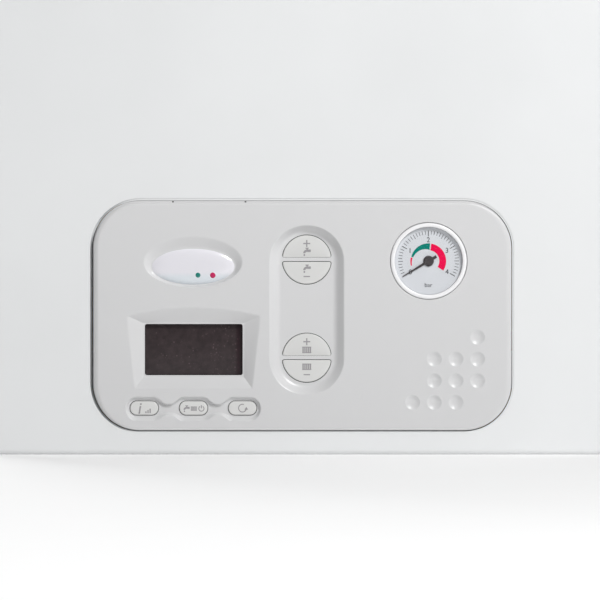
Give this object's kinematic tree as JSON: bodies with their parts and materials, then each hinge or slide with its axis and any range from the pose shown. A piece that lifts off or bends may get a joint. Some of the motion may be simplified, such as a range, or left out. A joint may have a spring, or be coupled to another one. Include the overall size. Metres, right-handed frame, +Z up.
{
  "type": "gas boiler",
  "caption": "Wall-hung gas boiler with a white steel casing, a tilting control box with gauge, display and keys, a sealed chamber, pump and water groups.",
  "frame": {"origin": "midway between the two wall-fixing holes, in the wall plane", "axes": "+Z up, +Y into the wall, the front faces -Y, +X to the right seen from the front"},
  "size_m": [0.4, 0.252, 0.735],
  "materials": {
    "white_paint": "satin",
    "galvanised": "satin",
    "fascia_plastic": "satin",
    "button_plastic": "satin",
    "box_plastic": "matte",
    "badge_plastic": "gloss",
    "gauge_white": "gloss",
    "dial_white": "matte",
    "clear_glass": "gloss",
    "display_pane": "gloss",
    "needle_black": "matte",
    "board_green": "satin",
    "copper": "satin",
    "brass": "satin",
    "steel": "satin",
    "aluminium": "satin",
    "ceramic": "matte",
    "black_plastic": "matte",
    "vessel_red": "satin",
    "motor_paint": "satin",
    "knob_red": "satin",
    "knob_blue": "satin"
  },
  "bodies": {
    "chassis": {"back_frame": "galvanised", "top_plate": "white_paint", "bottom_tray": "galvanised", "left_side_panel": "white_paint", "right_side_panel": "white_paint", "hinge_rail": "galvanised", "flue_collar": "aluminium", "chamber_box": "galvanised", "chamber_cover": "galvanised", "sight_glass": "clear_glass", "combustion_box": "steel", "insulation_panels": "ceramic", "heat_exchanger": "copper", "exchanger_fins": "copper", "flue_hood": "steel", "fan_housing": "aluminium", "fan_motor": "motor_paint", "burner": "steel", "gas_manifold": "steel", "electrodes": "ceramic", "air_switch": "black_plastic", "expansion_vessel": "vessel_red", "gas_valve": "aluminium", "gas_inlet_pipe": "brass", "gas_feed_pipe": "aluminium", "pump_body": "brass", "pump_motor": "motor_paint", "air_vent": "brass", "flow_group": "brass", "return_group": "brass", "diverter_actuator": "black_plastic", "plate_exchanger": "steel", "safety_valve": "brass", "flow_pipe": "copper", "return_pipe": "copper", "cable_gland": "black_plastic", "frame_screws": "steel"},
    "control_box": {"fascia": "fascia_plastic", "control_rear_cover": "box_plastic", "control_board": "board_green", "display_module": "black_plastic", "display_window": "display_pane", "badge_plate": "badge_plastic", "gauge_case": "gauge_white", "gauge_dial": "dial_white", "gauge_glass": "clear_glass", "hinge_pins": "steel"},
    "front_casing": {"front_casing": "white_paint", "casing_screws": "steel"},
    "fan_rotor": {"fan_impeller": "aluminium"},
    "safety_knob": {"safety_valve_knob": "knob_red"},
    "filling_knob": {"filling_tap_knob": "knob_blue"},
    "needle": {"gauge_needle": "needle_black"},
    "hot_water_plus_button": {"hot_water_plus_button": "button_plastic"},
    "hot_water_minus_button": {"hot_water_minus_button": "button_plastic"},
    "heating_plus_button": {"heating_plus_button": "button_plastic"},
    "heating_minus_button": {"heating_minus_button": "button_plastic"},
    "info_button": {"info_button": "button_plastic"},
    "mode_button": {"mode_button": "button_plastic"},
    "reset_button": {"reset_button": "button_plastic"}
  },
  "joints": [
    {"name": "front_casing_slide", "type": "slide", "parent": "chassis", "child": "front_casing", "axis": [0, -1, 0], "range_m": [0, 0.3]},
    {"name": "control_box_tilt", "type": "hinge", "parent": "chassis", "child": "control_box", "pos_m": [0, -0.246, -0.6325], "axis": [1, 0, 0], "range_deg": [0, 90]},
    {"name": "fan_spin", "type": "hinge", "parent": "chassis", "child": "fan_rotor", "pos_m": [-0.028, -0.12, -0.02], "axis": [0, 1, 0], "continuous": true},
    {"name": "safety_knob_turn", "type": "hinge", "parent": "chassis", "child": "safety_knob", "pos_m": [0.13, -0.114, -0.576], "axis": [0, 1, 0], "range_deg": [0, 90]},
    {"name": "filling_knob_turn", "type": "hinge", "parent": "chassis", "child": "filling_knob", "pos_m": [0.0975, -0.075, -0.62], "axis": [0, 0, 1], "range_deg": [0, 180]},
    {"name": "gauge_needle_turn", "type": "hinge", "parent": "control_box", "child": "needle", "pos_m": [0.0786, -0.247, -0.51945], "axis": [0, 1, 0], "range_deg": [0, 241]},
    {"name": "hot_water_plus_button_press", "type": "slide", "parent": "control_box", "child": "hot_water_plus_button", "axis": [0, 1, 0], "range_m": [0, 0.0012], "stiffness_N_per_m": 1500},
    {"name": "hot_water_minus_button_press", "type": "slide", "parent": "control_box", "child": "hot_water_minus_button", "axis": [0, 1, 0], "range_m": [0, 0.0012], "stiffness_N_per_m": 1500},
    {"name": "heating_plus_button_press", "type": "slide", "parent": "control_box", "child": "heating_plus_button", "axis": [0, 1, 0], "range_m": [0, 0.0012], "stiffness_N_per_m": 1500},
    {"name": "heating_minus_button_press", "type": "slide", "parent": "control_box", "child": "heating_minus_button", "axis": [0, 1, 0], "range_m": [0, 0.0012], "stiffness_N_per_m": 1500},
    {"name": "info_button_press", "type": "slide", "parent": "control_box", "child": "info_button", "axis": [0, 1, 0], "range_m": [0, 0.0012], "stiffness_N_per_m": 1500},
    {"name": "mode_button_press", "type": "slide", "parent": "control_box", "child": "mode_button", "axis": [0, 1, 0], "range_m": [0, 0.0012], "stiffness_N_per_m": 1500},
    {"name": "reset_button_press", "type": "slide", "parent": "control_box", "child": "reset_button", "axis": [0, 1, 0], "range_m": [0, 0.0012], "stiffness_N_per_m": 1500}
  ]
}
